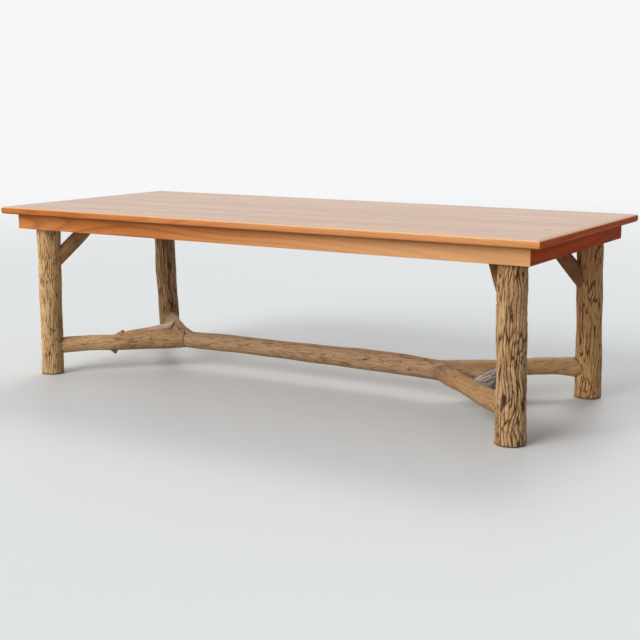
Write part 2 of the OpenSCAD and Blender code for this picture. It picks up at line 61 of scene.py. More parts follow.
class Wire:
    """A value, vector or colour on its way through a material; sums on it add their Math nodes."""

    def __init__(self, tree, socket=None):
        self.tree, self.socket = tree, socket

    def node(self, kind, settings=None, sockets=None, out=0):
        """Adds a node of that kind: its settings first, then a value or a wire for each socket,
        which is called by its name or number. Gives the output of that name or number."""
        made = self.tree.nodes.new("ShaderNode" + kind)
        for key, value in (settings or {}).items():
            if key == "stops":
                ramp = made.color_ramp
                while len(ramp.elements) < len(value):
                    ramp.elements.new(1)
                for stop, (place, colour) in zip(ramp.elements, value):
                    stop.position, stop.color = place, colour
            else:
                setattr(made, key, value)
        for key, value in (sockets or {}).items():
            if isinstance(value, Wire):
                self.tree.links.new(value.socket, made.inputs[key])
            else:
                made.inputs[key].default_value = value
        return Wire(self.tree, made.outputs[out])

    def math(self, operation, *rest):
        """One Math node on this value and the rest."""
        return self.node("Math", {"operation": operation}, dict(enumerate((self, *rest))))

    def __add__(self, other):
        return self.math("ADD", other)

    def __mul__(self, other):
        return self.math("MULTIPLY", other)

    def __sub__(self, other):
        return self.math("SUBTRACT", other)

    def __rsub__(self, other):
        return self.node("Math", {"operation": "SUBTRACT"}, {0: other, 1: self})

    __radd__ = __add__

    def part(self, axis):
        """One of this vector's three numbers: 0 is x, 1 is y, 2 is z."""
        return self.node("SeparateXYZ", sockets={0: self}, out=axis)

    def dot(self, other):
        """This vector's numbers times the other's, added up."""
        return self.node("VectorMath", {"operation": "DOT_PRODUCT"}, {0: self, 1: other}, out="Value")

    def length(self):
        """How long this vector is."""
        return self.node("VectorMath", {"operation": "LENGTH"}, {0: self}, out="Value")

    def stretched(self, x, y, z):
        """This vector times x, y, z: the greater a number, the finer the pattern that way."""
        return self.node("VectorMath", {"operation": "MULTIPLY"}, {0: self, 1: (x, y, z)})

    def moved(self, x, y, z):
        """This vector and x, y, z added, for another piece of the same pattern."""
        return self.node("VectorMath", {"operation": "ADD"}, {0: self, 1: (x, y, z)})

    def cloud(self, detail=2.0, rough=0.5, sway=0.0):
        """Soft random patches, 0 to 1, one to each unit of this vector."""
        return self.node("TexNoise", {}, {"Vector": self, "Scale": 1.0, "Detail": detail,
                                          "Roughness": rough, "Distortion": sway})

    def rise(self, low, high):
        """0 below low, 1 above high, smooth between; the other way round where low is the greater."""
        flip = low > high
        return self.node("MapRange", {"interpolation_type": "SMOOTHSTEP"},
                         {"Value": self, "From Min": min(low, high), "From Max": max(low, high),
                          "To Min": float(flip), "To Max": float(not flip)})

    def paint(self, under, over):
        """The colour under, covered by the colour over as far as this value says. The numbers are
        the Mix node's sockets for a share, two colours and their blend."""
        return self.node("Mix", {"data_type": "RGBA"}, {0: self, 6: under, 7: over}, out=2)

    def ramp(self, *stops):
        """A colour by this value, blended between stops of a value and a colour."""
        return self.node("ValToRGB", {"stops": stops}, {0: self})

    def bump(self, height, strength):
        """Dents and ridges of this height in metres, for a shader's Normal."""
        return self.node("Bump", {}, {"Height": self, "Distance": height, "Strength": strength})

    def into(self, shader, name):
        """Ends this wire in a shader's socket."""
        self.tree.links.new(self.socket, shader.inputs[name])


def new_finish(name, shine=0.5, bend=1.5):
    """An empty material with its shader, and a loose wire to start from."""
    finish = bpy.data.materials.new(name)
    finish.use_nodes = True
    shader = finish.node_tree.nodes["Principled BSDF"]
    shader.inputs["Specular IOR Level"].default_value = shine
    shader.inputs["IOR"].default_value = bend
    return finish, shader, Wire(finish.node_tree)


def oak(name, grain_of, light, dark, pore, roughness, coat=0.0, swirl=None, shine=0.5, bend=1.5):
    """Varnished oak, its grain along x: arches are the level lines of slow stretched patches, with
    short dark pores lying in them, fine fibres, flecks, and broad warm and pale streaks. Gives the
    finish and its colour, for more to be painted over it."""
    finish, shader, wire = new_finish(name, shine, bend)
    grain = grain_of(wire)
    slow = grain.stretched(0.55, 7.5, 7.5).cloud(1.2, 0.4, 0.2)
    if swirl:
        slow = slow + swirl(wire)
    arch = (slow * 21).math("FRACT")
    late = arch.rise(0.35, 0.85) * arch.rise(1.0, 0.86)
    fibre = grain.stretched(7, 260, 260).cloud(2.5, 0.6)
    pores = grain.stretched(26, 620, 620).cloud(2, 0.6).rise(0.56, 0.68)
    streak = grain.stretched(0.7, 11, 11).moved(3, 1, 7).cloud(2.5, 0.6)
    broad = streak.rise(0.32, 0.68).paint(dark, light)
    flecks = grain.stretched(2.2, 70, 70).moved(4, 6, 2).cloud(2, 0.6)
    grained = (late * 0.5 + fibre * 0.45 + flecks * 0.5).rise(0.3, 1.15) * 0.5
    body = grained.paint(broad, pore)
    full = (pores * (0.3 + late * 0.35)).paint(body, pore)
    full.into(shader, "Base Color")
    (roughness + fibre * 0.1).into(shader, "Roughness")
    (fibre * 0.4 - pores * 0.6).bump(0.00025, 0.35).into(shader, "Normal")
    shader.inputs["Coat Weight"].default_value = coat
    shader.inputs["Coat Roughness"].default_value = 0.16
    return finish, full


def at_place(wire):
    """Where a point lies on the table, in metres."""
    return wire.node("TexCoord", out="Object")


def boards_across(wire):
    """How many boards there are between the front edge of the glued panel and a point."""
    return (at_place(wire).part(1) - (board_low.y + tongue)) * (1 / board_w)


def board_grain(wire):
    """Grain of the top: each board has its own piece of the pattern, by a throw of dice on its number."""
    place = at_place(wire)
    number = boards_across(wire).math("FLOOR")
    dice = wire.node("TexWhiteNoise", {"noise_dimensions": "1D"}, {"W": number}, out="Color")
    shift = wire.node("VectorMath", {"operation": "MULTIPLY"}, {0: dice, 1: (31.0, 17.0, 23.0)})
    return wire.node("VectorMath", {"operation": "ADD"}, {0: place, 1: shift})


def knot_swirl(wire):
    """How far the knots push the growth arches: a bell round each knot, longer along the grain."""
    place = at_place(wire)
    total = 0.0
    for x, y, radius, push in top_knots:
        away = place.moved(-x, -y, 0).stretched(0.33 / radius, 1 / radius, 0)
        total = (away.dot(away) * -0.28).math("EXPONENT") * (push * 0.22) + total
    return total


def cover(names, finish):
    """Gives CAD nodes their finish; their shapes and places stay as they are."""
    for name in names:
        nodes[name].data.materials.clear()
        nodes[name].data.materials.append(finish)


top_finish, top_colour = oak("satin_oak_top", board_grain, seen(214, 158, 98), seen(194, 130, 70),
                             seen(140, 84, 42), 0.25, 0.25, knot_swirl)
top_shader = top_finish.node_tree.nodes["Principled BSDF"]
top_wire = Wire(top_finish.node_tree)
# Over the wood: dark hairline seams between the boards, and the knots' dark ragged hearts
top_place = at_place(top_wire)
off_middle = (boards_across(top_wire).math("FRACT") - 0.5).math("ABSOLUTE")
seam = off_middle.rise(0.4925, 0.4985)
heart = 0.0
for x, y, radius, _ in top_knots:
    away = top_place.moved(-x, -y, 0).stretched(0.5 / radius, 1 / radius, 0)
    ragged = away.length() + top_place.stretched(60, 160, 0).cloud(2) * 0.9
    heart = ragged.rise(1.5, 0.8) * 0.8 + heart
top_colour = (seam * 0.45).paint(top_colour, seen(96, 56, 30))
heart.paint(top_colour, seen(74, 42, 24)).into(top_shader, "Base Color")
cover([f"top_board_{i}" for i in range(1, board_count + 1)], top_finish)

# The edging: a solid oak lipping round the glued panel, mitred at the corners and glued on with
# a groove over the panel's tongue. Its arrises are rounded to 9 mm above and 10 mm below; the
# upper one is painted pale as a painted highlight, its underside is painted dark as painted shade,
# the front is painted paler to the right as painted light, and the right end has redder, darker
# tones as painted shade.
table_l, table_w, table_h = 2.44, 1.08, 0.74
edging_w, top_t = 0.022, 0.030
edging_round, edging_ease = 0.009, 0.010
groove_t, groove_l = 0.0085, 0.0095
# Faces that meet at more degrees than this have a sharp edge between them
sharp_from = 48


def arc(y, z, radius, start, end, count):
    """Points of a round corner about y, z, from one angle in degrees to another."""
    turn = np.radians(np.linspace(start, end, count))
    return np.stack([y + radius * np.cos(turn), z + radius * np.sin(turn)], 1)


def ring_walls(rows, count):
    """Faces between rows of points, each row a closed ring of that many points."""
    here = np.arange(rows - 1)[:, None] * count + np.arange(count)[None, :]
    beside = np.arange(rows - 1)[:, None] * count + (np.arange(count)[None, :] + 1) % count
    return np.stack([here, here + count, beside + count, beside], 2).reshape(-1, 4).tolist()


def lay_mesh(name, points, faces, finish, stands_for, values):
    """Puts points and faces into an object that rides on the table and stands for its CAD nodes;
    values are what the finish reads at each point: a name, and a number or a vector for each."""
    mesh = bpy.data.meshes.new(name)
    mesh.from_pydata(points.tolist(), [], faces)
    mesh.polygons.foreach_set("use_smooth", [True] * len(mesh.polygons))
    for key, array in values:
        kind, field = ("FLOAT", "value") if array.ndim == 1 else ("FLOAT_VECTOR", "vector")
        channel = mesh.attributes.new(key, kind, "POINT")
        channel.data.foreach_set(field, array.astype(np.float32).ravel())
    mesh.set_sharp_from_angle(angle=math.radians(sharp_from))
    mesh.materials.append(finish)
    mesh.update()
    piece = bpy.data.objects.new(name, mesh)
    bpy.context.scene.collection.objects.link(piece)
    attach(piece, "root")
    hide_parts(*stands_for)


def mitred_length(name, side, reach, length, profile, finish, node):
    """A profile (depth behind the outer face, height) carried along one side of the table. Each of
    its lines is shorter by its depth at both ends, which makes the mitres; then it is turned to its
    side. Each length has its own piece of the grain."""
    count, steps = len(profile), 25
    way = np.linspace(-1, 1, steps)[:, None]
    depth, height = profile[:, 0][None, :], profile[:, 1][None, :]
    x = way * (length / 2 - depth)
    y = -reach + depth + 0 * way
    z = height + 0 * way
    turn = math.radians(90 * side)
    points = np.stack([x * math.cos(turn) - y * math.sin(turn),
                       x * math.sin(turn) + y * math.cos(turn), z], 2)
    grain = np.stack([x + side * 3.7, y + side * 1.3, z], 2)
    ends = [list(range(count)), list(range(count * steps - 1, count * (steps - 1) - 1, -1))]
    lay_mesh(name, points.reshape(-1, 3), ring_walls(steps, count) + ends, finish, [node],
             [("grain", grain.reshape(-1, 3))])


def length_grain(wire):
    """The grain of an oak length or a log, laid out straight when its mesh was made, x along it."""
    return wire.node("Attribute", {"attribute_name": "grain"}, out="Vector")


def banded(wood, bands, glossy=None):
    """Paints tones over a wood's colour, each by a share that grows along one axis of the grain from
    where it starts to where it is full, and varnishes it thicker where glossy says so by height."""
    finish, colour = wood
    shader = finish.node_tree.nodes["Principled BSDF"]
    wire = Wire(finish.node_tree)
    for axis, start, full, share, tone in bands:
        grown = length_grain(wire).part(axis).rise(start, full)
        colour = (grown * share).paint(colour, seen(*tone))
    colour.into(shader, "Base Color")
    if glossy:
        start, full, weight = glossy
        (length_grain(wire).part(2).rise(start, full) * weight).into(shader, "Coat Weight")
    return finish


def side_finishes(name, tones, shaded_tones, roughness, shine, bands, painted_light, glossy=None):
    """Finishes for the front, right, back and left side: the front one fades to a paler tone along
    its length as painted light, and the right one has redder, darker tones as painted shade and
    hardly any gloss."""
    plain = banded(oak(name, length_grain, *tones, roughness, shine=shine), bands, glossy)
    front = banded(oak(name + "_front", length_grain, *tones, roughness, shine=shine),
                   [painted_light] + bands, glossy)
    shaded_side = banded(oak(name + "_red", length_grain, *shaded_tones, roughness, shine=0.3, bend=1.08),
                 bands, glossy)
    return [front, shaded_side, plain, plain]


low, high = table_h - top_t, table_h
middle = (low + high) / 2
# Bands by height: the lip's underside painted dark as painted shade, its upper arris painted pale as a
# painted highlight, and its flat upper face in the top's own tone
edging_tone_and_light_bands = [(2, low + 0.006, low + 0.0005, 0.6, (92, 40, 14)),
                (2, high - 0.007, high - 0.002, 0.75, (246, 206, 160)),
                (2, high - 0.0006, high - 0.0001, 1.0, (204, 144, 84))]
edging_gloss = (high - 0.007, high - 0.002, 0.5)
# Painted light: the front lip is painted paler towards its right end
edging_painted_light = (0, -1.0, 0.4, 0.35, (236, 178, 122))
edging_tones = (seen(220, 138, 72), seen(202, 112, 48), seen(150, 76, 28))
# Redder, darker tones for the right end's lip: painted shade
edging_shaded_tones = (seen(230, 106, 36), seen(202, 84, 22), seen(148, 58, 14))
edging_finishes = side_finishes("satin_oak_edging", edging_tones, edging_shaded_tones, 0.3, 0.12, edging_tone_and_light_bands,
                                edging_painted_light, edging_gloss)
edging_profile = np.concatenate([
    arc(edging_round, high - edging_round, edging_round, 90, 180, 10),
    arc(edging_ease, low + edging_ease, edging_ease, 180, 270, 10),
    [[edging_w, low], [edging_w, middle - groove_t / 2], [edging_w - groove_l, middle - groove_t / 2],
     [edging_w - groove_l, middle + groove_t / 2], [edging_w, middle + groove_t / 2], [edging_w, high]]])
sides = [("front", table_l), ("right", table_w), ("back", table_l), ("left", table_w)]
for side, (where, length) in enumerate(sides):
    reach = table_w / 2 if side % 2 == 0 else table_l / 2
    mitred_length(f"oak_lip_{where}", side, reach, length, edging_profile, edging_finishes[side],
                  f"edging_{where}")

# The apron: four oak boards on edge, 65 by 24 mm, mitred at the corners and set 50 mm back under
# the top, glued and held by glue blocks. Their lower arrises are lightly rounded by hand. Their
# tops are painted dark under the lip as painted shade; the front one is painted paler to the right
# as painted light, and the right one has redder, darker tones as painted shade.
overhang, apron_t, apron_h = 0.050, 0.024, 0.065
apron_arris = 0.002
# Painted shade: the apron's top is painted dark under the lip
apron_shade_bands = [(2, low - 0.012, low - 0.001, 0.6, (92, 40, 14))]
# Painted light: the front apron is painted paler towards its right end
apron_painted_light = (0, -0.6, 0.9, 0.55, (240, 190, 136))
apron_tones = (seen(218, 144, 80), seen(198, 114, 52), seen(146, 78, 32))
# Redder, darker tones for the right end's apron: painted shade
apron_shaded_tones = (seen(222, 100, 24), seen(194, 74, 14), seen(138, 48, 10))
apron_finishes = side_finishes("satin_oak_apron", apron_tones, apron_shaded_tones, 0.36, 0.08, apron_shade_bands,
                               apron_painted_light)
apron_foot = low - apron_h
apron_profile = np.concatenate([
    [[0, low]],
    arc(apron_arris, apron_foot + apron_arris, apron_arris, 180, 270, 5),
    arc(apron_t - apron_arris, apron_foot + apron_arris, apron_arris, 270, 360, 5),
    [[apron_t, low]]])
for side, (where, length) in enumerate(sides):
    reach = (table_w if side % 2 == 0 else table_l) / 2 - overhang
    mitred_length(f"oak_apron_{where}", side, reach, length - 2 * overhang, apron_profile,
                  apron_finishes[side], f"apron_{where}")

# The underside: two wide end cleats that take the legs, three cross battens, and the glue blocks
# behind the apron, all planed softwood left bare and screwed or glued up under the boards.


def planed_wood(name, light, dark):
    """Bare planed softwood: straight soft rings as level lines of stretched patches, faint fibres."""
    finish, shader, wire = new_finish(name, 0.3)
    place = at_place(wire).stretched(9, 0.8, 9)
    rings = (place.cloud(1, 0.4) * 16).math("FRACT").rise(0.3, 1.0)
    fibre = place.stretched(30, 12, 30).cloud(3, 0.6)
    (rings * 0.5 + fibre * 0.5).rise(0.15, 0.9).paint(light, dark).into(shader, "Base Color")
    (0.62 + fibre * 0.15).into(shader, "Roughness")
    fibre.bump(0.0003, 0.4).into(shader, "Normal")
    return finish


softwood = planed_wood("planed_softwood", seen(206, 172, 126), seen(172, 132, 86))
cover(["glue_blocks", "end_cleat_left", "end_cleat_right"], softwood)
cover([f"cross_batten_{i}" for i in (1, 2, 3)], softwood)

# The legs: four hickory saplings about 100 mm thick with their bark left on, sawn square top and
# bottom, their sawn rims painted dark, partly as a stain on the sealed end grain and partly as
# painted shade where they meet the floor, and held by a bolt down through the cleats. Each has its
# own girth, lean, bark and scars.
cleat_z = 0.682
leg_x, leg_y = 1.083, 0.403
# What a leg's girth gains at four even heights, in mm, and how far a log's lobes stand out of its radius
leg_waist = (0, -3, -1, 0)
lobe = 0.02
# Gap in metres of a log's coped end to a leg's mean skin: it goes 1 mm into the bark
leg_gap = -0.001
# Each leg: its side of the table, the lean of its foot and head and its girth there in mm, its
# bark, and its scars, each an angle round the log in degrees, then its way along the log, half
# width, half length and depth in metres. A scar of negative depth is a bump.
legs = {
    "front_left": dict(side=(-1, -1), foot=(-3, -2), head=(1, 1), girth=(98, 103), turn=20,
                       cells=34, pitch=0.080, deep=0.0030, waves=0.0007, seed=11,
                       scars=[(214, 0.196, 0.006, 0.010, 0.004)],
                       colours=[(92, 65, 38), (200, 158, 108), (232, 192, 142)],
                       looks=dict(moss=0.16, cracks=0.70, end_tone_and_shade=(84, 60, 38))),
    "front_right": dict(side=(1, -1), foot=(0, 0), head=(-8, -7), girth=(113, 105), turn=110,
                        cells=24, pitch=0.105, deep=0.0050, waves=0.0007, seed=24,
                        scars=[(277, 0.166, 0.0075, 0.024, 0.007), (266, 0.505, 0.008, 0.008, -0.003)],
                        colours=[(66, 42, 22), (150, 110, 72), (204, 165, 120)],
                        looks=dict(cracks=0.78, grit=0.7, end_tone_and_shade=(70, 46, 28))),
    "rear_left": dict(side=(-1, 1), foot=(12, 8), head=(-9, -5), girth=(100, 98), turn=200,
                      cells=22, pitch=0.130, deep=0.0036, waves=0.0012, seed=37,
                      scars=[(189, 0.416, 0.007, 0.012, -0.004)],
                      colours=[(62, 43, 26), (118, 87, 55), (162, 127, 88)],
                      # Painted light: the side of this leg that faces right and back is painted paler
                      looks=dict(grit=1.0, end_tone_and_shade=(60, 42, 28),
                                 painted_light_side=(-0.85, 0.52, (214, 174, 134), 0.9))),
    "rear_right": dict(side=(1, 1), foot=(5, 3), head=(-9, -5), girth=(111, 104), turn=290,
                       cells=30, pitch=0.085, deep=0.0032, waves=0.0010, seed=53,
                       scars=[(195, 0.546, 0.009, 0.014, -0.005)],
                       colours=[(96, 64, 34), (190, 140, 88), (220, 176, 122)],
                       looks=dict(cracks=0.9, grit=1.2, end_tone_and_shade=(78, 54, 34))),
}


def unit(vectors):
    """Vectors divided by their length."""
    return vectors / np.linalg.norm(vectors, axis=-1, keepdims=True)


def middle_line(stations, upright=False):
    """The middle line of a log through stations of x, y, z and diameter in mm: each stretch blends the
    four stations about it (Catmull-Rom), walked in steps of 3 mm. Gives way, middle, radius, side, up."""
    step, per_stretch = 0.003, 60
    s = np.asarray(stations, float)
    p = np.vstack([s[:1], s, s[-1:]])
    t = np.linspace(0, 1, per_stretch, endpoint=False)[:, None, None]
    a, b, c, d = p[:-3], p[1:-2], p[2:-1], p[3:]
    q = 0.5 * (2 * b + (c - a) * t + (2 * a - 5 * b + 4 * c - d) * t**2 + (3 * b - 3 * c + d - a) * t**3)
    q = np.vstack([q.transpose(1, 0, 2).reshape(-1, 4), s[-1:]]) / 1000
    walked = np.concatenate([[0], np.cumsum(np.linalg.norm(np.diff(q[:, :3], axis=0), axis=1))])
    way = np.linspace(0, walked[-1], int(walked[-1] / step) + 2)
    q = np.stack([np.interp(way, walked, column) for column in q.T], 1)
    heading = unit(np.gradient(q[:, :3], axis=0))
    if upright:
        heading[:] = (0, 0, np.sign(q[-1, 2] - q[0, 2]))
    side = unit(np.cross(heading, (0, 1, 0) if upright else (0, 0, 1)))
    return way, q[:, :3], q[:, 3] / 2, side, np.cross(side, heading)


def skin(line, way, angle, turn=0.0, swell=0.0, share=1.0):
    """Points of a log's skin: from its middle, out by its radius, less or more by its two and three
    lobes to a turn and its swell, towards cos(angle) side + sin(angle) up. A share below 1 gives
    points inside it."""
    ways, middle, radius, side, up = line
    pick = lambda rows: np.stack([np.interp(way, ways, column) for column in rows.T], -1)
    turned = math.radians(turn)
    lobes = 1 + lobe * (0.6 * np.sin(2 * angle + turned) + 0.4 * np.sin(3 * angle - turned))
    reach = (np.interp(way, ways, radius) * lobes + swell) * share
    out = np.cos(angle)[..., None] * pick(side) + np.sin(angle)[..., None] * pick(up)
    return pick(middle) + reach[..., None] * out


def coped(line, turn, other, gap, far_end=False, within=0.26):
    """Where each line of a log's skin comes out of another log, for a coped end: walking out from
    the joint, the first place farther from the other's middle line than its radius and the gap.
    Gives that as a function of the lines' angles."""
    steps, far = 90, 9.0

    def where(angle):
        way = np.linspace(0, min(within, line[0][-1]), steps)
        way = line[0][-1] - way if far_end else way
        points = skin(line, way[:, None] + 0 * angle[None, :], angle[None, :] + 0 * way[:, None], turn)
        away = np.full(points.shape[:2], far)
        for middle, radius in zip(other[1][::2], other[2][::2]):
            away = np.minimum(away, np.linalg.norm(points - middle, axis=2) - radius - gap)
        first = np.maximum(np.argmax(away > 0, axis=0), 1)
        column = np.arange(len(angle))
        before, after = away[first - 1, column], away[first, column]
        share = np.clip(before / (before - after + 1e-9), 0, 1)
        return way[first - 1] + (way[first] - way[first - 1]) * share
    return where


def swells(angle, way, size, length, seed, turns=4):
    """Slow bumps of a log: a sum of twelve waves with whole turns round it, mixed in slant and phase."""
    dice = np.random.default_rng(seed)
    total = 0
    for _ in range(12):
        round_it, slope = dice.integers(-turns, turns + 1), dice.uniform(0.3, 1) * 2 * math.pi / length
        total = total + np.sin(round_it * angle + slope * way + dice.uniform(0, 7))
    return size * total / math.sqrt(6)


def furrows(angle, way, cells, pitch, seed, sway=0.3):
    """The plates of bark between long interlaced furrows: cells in staggered columns round the log,
    each with a loose middle. A point's second nearest middle less its nearest is 0 in the furrow
    between two cells and most in the middle of one. Gives that, and its cell's throw of the dice."""
    rows, far = 97, 9.0
    dice = np.random.default_rng(seed).random((cells, rows, 3))
    u = angle / (2 * math.pi) * cells + swells(angle, way, sway, 0.20, seed + 1, 3)
    u = u + swells(angle, way, 0.3 * sway, 0.07, seed + 2, 6)
    v = way / pitch + swells(angle, way, 0.3, 0.25, seed + 3, 3)
    home_u, home_v = np.floor(u).astype(int), np.floor(v).astype(int)
    nearest, second, own = np.full(u.shape, far), np.full(u.shape, far), np.zeros(u.shape)
    for du in (-1, 0, 1):
        for dv in (-2, -1, 0, 1, 2):
            cu, cv = home_u + du, home_v + dv
            loose = dice[cu % cells, cv % rows]
            off_u = cu + 0.5 + 0.85 * (loose[..., 0] - 0.5) - u
            off_v = cv + 0.5 + 0.95 * (loose[..., 1] - 0.5) + 0.5 * (cu % 2) - v
            gap = np.hypot(off_u, 0.7 * off_v)
            closer = gap < nearest
            second = np.where(closer, nearest, np.minimum(second, gap))
            own = np.where(closer, loose[..., 2], own)
            nearest = np.where(closer, gap, nearest)
    return second - nearest, own


def smooth_rise(value, low, high):
    """0 below low, 1 above high, smooth between; the other way round where low is the greater."""
    share = np.clip((value - low) / (high - low), 0, 1)
    return share * share * (3 - 2 * share)


def round_log(name, line, turn, around, rows, bark, finish, stands_for, start=None, end=None,
              scars=(), rim=0.005, frayed=0.0, end_tone_reach=None):
    """A log's whole skin on a grid of rows along it and lines round it, closer at both ends. Start and
    end give for each line where it begins and stops. The bark gives its relief and crests; scars are
    bells pressed in or raised; within the rim the skin rounds over like a quarter circle, with chips
    out of it where it is frayed; within the end tone's reach its finish paints the end tone, which
    on most logs is darker as a painted shade at their joints and feet."""
    crowding, full_scar = 0.8, 0.006
    angle = np.arange(around) * 2 * math.pi / around
    start = np.zeros(around) if start is None else start(angle)
    end = np.full(around, line[0][-1]) if end is None else end(angle)
    t = np.linspace(0, 1, rows)[:, None]
    t = t - crowding * np.sin(2 * math.pi * t) / (2 * math.pi)
    way = start[None, :] + (end - start)[None, :] * t
    angles = angle[None, :] + 0 * way
    relief, crest = bark(angles, way)
    scar = np.zeros_like(way)
    girth = np.interp(way, line[0], line[2])
    for at, height, half_w, half_l, deep in scars:
        off = (angles - math.radians(at) + math.pi) % (2 * math.pi) - math.pi
        bell = np.exp(-(((off * girth / half_w) ** 2 + ((way - height) / half_l) ** 2) ** 1.5) / 2)
        relief = relief * (1 - 0.7 * bell) - deep * bell
        scar = np.maximum(scar, bell * np.clip(deep / full_scar, 0, 1))
    from_end = np.minimum(way - start, end - way)
    rounding = rim * (1 - np.sqrt(1 - (1 - np.clip(from_end / rim, 0, 1)) ** 2))
    if frayed:
        chips = swells(angles, way, 0.6, 0.05, 5, 9)
        rounding = rounding + frayed * np.clip(chips, 0, 2) * np.clip(1 - from_end / (3 * rim), 0, 1)
    points = skin(line, way, angles, turn, relief - rounding)
    grain = np.stack([way, np.cos(angles) * girth, np.sin(angles) * girth], 2)
    cut = np.clip(1 - from_end / (end_tone_reach or 1.6 * rim), 0, 1)
    count = rows * around
    loop, after = np.arange(around), (np.arange(around) + 1) % around
    last = count - around
    caps = np.concatenate([np.stack([0 * loop + count, loop, after], 1),
                           np.stack([0 * loop + count + 1, last + after, last + loop], 1)])
    heart_ways = np.array([start.mean(), end.mean()])
    hearts = skin(line, heart_ways, np.zeros(2), turn, share=0.0)
    points = np.concatenate([points.reshape(-1, 3), hearts])
    heart_grain = [[heart_ways[0], 0, 0], [heart_ways[1], 0, 0]]
    pad = lambda array, fill: np.concatenate([array.ravel(), fill])
    values = [("grain", np.concatenate([grain.reshape(-1, 3), heart_grain])),
              ("crest", pad(crest, [0.5, 0.5])), ("scar", pad(scar, [0, 0])), ("cut", pad(cut, [1, 1]))]
    lay_mesh(name, points, ring_walls(rows, around) + caps.tolist(), finish, stands_for, values)


def bark_finish(name, furrow, body, crest, moss=0.1, *, end_tone_and_shade, roughness=0.72, silver_and_highlight=0.0, worn=None,
                cracks=0.66, grit=0.9, painted_light_side=None):
    """Sealed bark: a ramp of three colours by its crests, as much as cracks says, by fibres along
    it, as much as grit says, and by flakes. Over that come olive where lichen sat, a warmer tone in
    patches, dark scars, the end tone at its rims, which at joints and feet is mostly painted shade,
    and silver streaks on a weathered log's upper side, partly a painted highlight. A painted light
    pales the side that looks along its two shares of the log's own y and z; worn gives a stretch its
    own colour: its middle along the log, reach and colour."""
    finish, shader, wire = new_finish(name, 0.35)
    grain = length_grain(wire)
    read = lambda key: wire.node("Attribute", {"attribute_name": key}, out="Fac")
    fibre = grain.stretched(14, 230, 230).cloud(4, 0.65)
    flakes = grain.stretched(24, 95, 95).moved(5, 2, 1).cloud(3, 0.6)
    patch = grain.stretched(5, 14, 14).moved(2, 8, 4).cloud(3, 0.6)
    level = (read("crest") - 0.75) * cracks + (fibre - 0.5) * grit + flakes + 0.15
    dark, mid, top = seen(*furrow), seen(*body), seen(*crest)
    colour = level.ramp((0.12, dark), (0.42, mid), (0.82, top))
    olive = tuple(0.5 * (np.array(mid) + np.array(seen(136, 132, 104))))
    colour = (patch.rise(0.5, 0.68) * moss).paint(colour, olive)
    warm = tuple(np.array(mid) * (1.1, 0.92, 0.78, 1))
    colour = (patch.rise(0.48, 0.3) * 0.45).paint(colour, warm)
    if painted_light_side:
        y_share, z_share, tone, amount = painted_light_side
        facing = grain.dot((0, y_share, z_share))
        share = facing.rise(0.008, 0.042) * (level - 0.1) * amount
        colour = share.paint(colour, seen(*tone))
    colour = read("scar").rise(0.15, 0.9).paint(colour, seen(58, 32, 24))
    if silver_and_highlight:
        on_top = grain.part(2).rise(-0.004, 0.014)
        streak = grain.stretched(12, 110, 110).moved(1, 4, 9).cloud(3, 0.6).rise(0.38, 0.56)
        colour = (on_top * streak * silver_and_highlight).paint(colour, seen(226, 222, 220))
    if worn:
        place, reach, tone = worn
        off = (grain.part(0) - place).math("ABSOLUTE")
        tail = (off + (flakes - 0.5) * 0.08).rise(reach, reach * 0.4) * 0.8
        shade = lambda share: tuple(np.array(seen(*tone)) * (share, share, share, 1))
        colour = tail.paint(colour, level.ramp((0.2, shade(0.5)), (0.65, shade(1.0)), (0.9, shade(1.2))))
    colour = ((read("cut") - 0.45 + fibre * 0.4).rise(0.2, 0.7) * 0.9).paint(colour, seen(*end_tone_and_shade))
    colour.into(shader, "Base Color")
    (roughness + fibre * 0.15).into(shader, "Roughness")
    (fibre * 0.6 + flakes * 0.4).bump(0.0024, 0.9).into(shader, "Normal")
    return finish


def ridged_bark(cells, pitch, deep, waves, seed):
    """Relief and crest of ridged bark at any place of a log: long plates parted by deep cracks where
    two cells of the furrows' field meet, strong and weak by turns, each plate sunk by its own throw
    of the dice, with finer cracks over it from a second field, flakes, and slow swells."""
    def bark(angle, way):
        field, own = furrows(angle, way, cells, pitch, seed)
        fine, chips = furrows(angle, way, cells * 2, pitch * 0.55, seed + 34)
        strong = smooth_rise(swells(angle, way, 1, 0.09, seed + 60, 7), -1.3, 0.6)
        crack = smooth_rise(field, 0.25, 0.02) * (0.55 + 0.45 * strong)
        chip = smooth_rise(fine, 0.24, 0.02) * smooth_rise(chips, 0.1, 0.9)
        flake = swells(angle, way, 1, 0.016, seed + 70, 40)
        relief = deep * (0.1 - 0.85 * crack - 0.35 * own - 0.15 * chip)
        relief = relief + swells(angle, way, waves, 0.16, seed + 3)
        relief = relief + np.minimum(flake, 1) * deep * 0.08
        return relief, 1 - np.clip(crack * 0.75 + own * 0.3 + chip * 0.2 - flake * 0.05, 0, 1)
    return bark


leg_lines = {}
for corner, leg in legs.items():
    base = np.array(leg["side"]) * (leg_x * 1000, leg_y * 1000)
    foot, head, (foot_girth, head_girth) = np.array(leg["foot"]), np.array(leg["head"]), leg["girth"]
    stations = [[*(base + foot * (1 - up) + head * up), up * cleat_z * 1000,
                 foot_girth * (1 - up) + head_girth * up + waist]
                for up, waist in zip(np.linspace(0, 1, len(leg_waist)), leg_waist)]
    leg_lines[corner] = middle_line(stations, upright=True)
    round_log(f"log_leg_{corner}", leg_lines[corner], leg["turn"], 232, 330,
              ridged_bark(leg["cells"], leg["pitch"], leg["deep"], leg["waves"], leg["seed"]),
              bark_finish(f"bark_leg_{corner}", *leg["colours"], **leg["looks"]),
              [f"leg_{corner}"], scars=leg["scars"], rim=0.004, frayed=0.004, end_tone_reach=0.020)

# The long stretcher: one natural pole 76 to 89 mm thick, its crook turning into the rear left leg,
# its right end tenoned into the rung. The bark is tight and nearly smooth, with long fine streaks,
# and painted paler along the top of its back as a painted highlight.
stretcher_z = 127
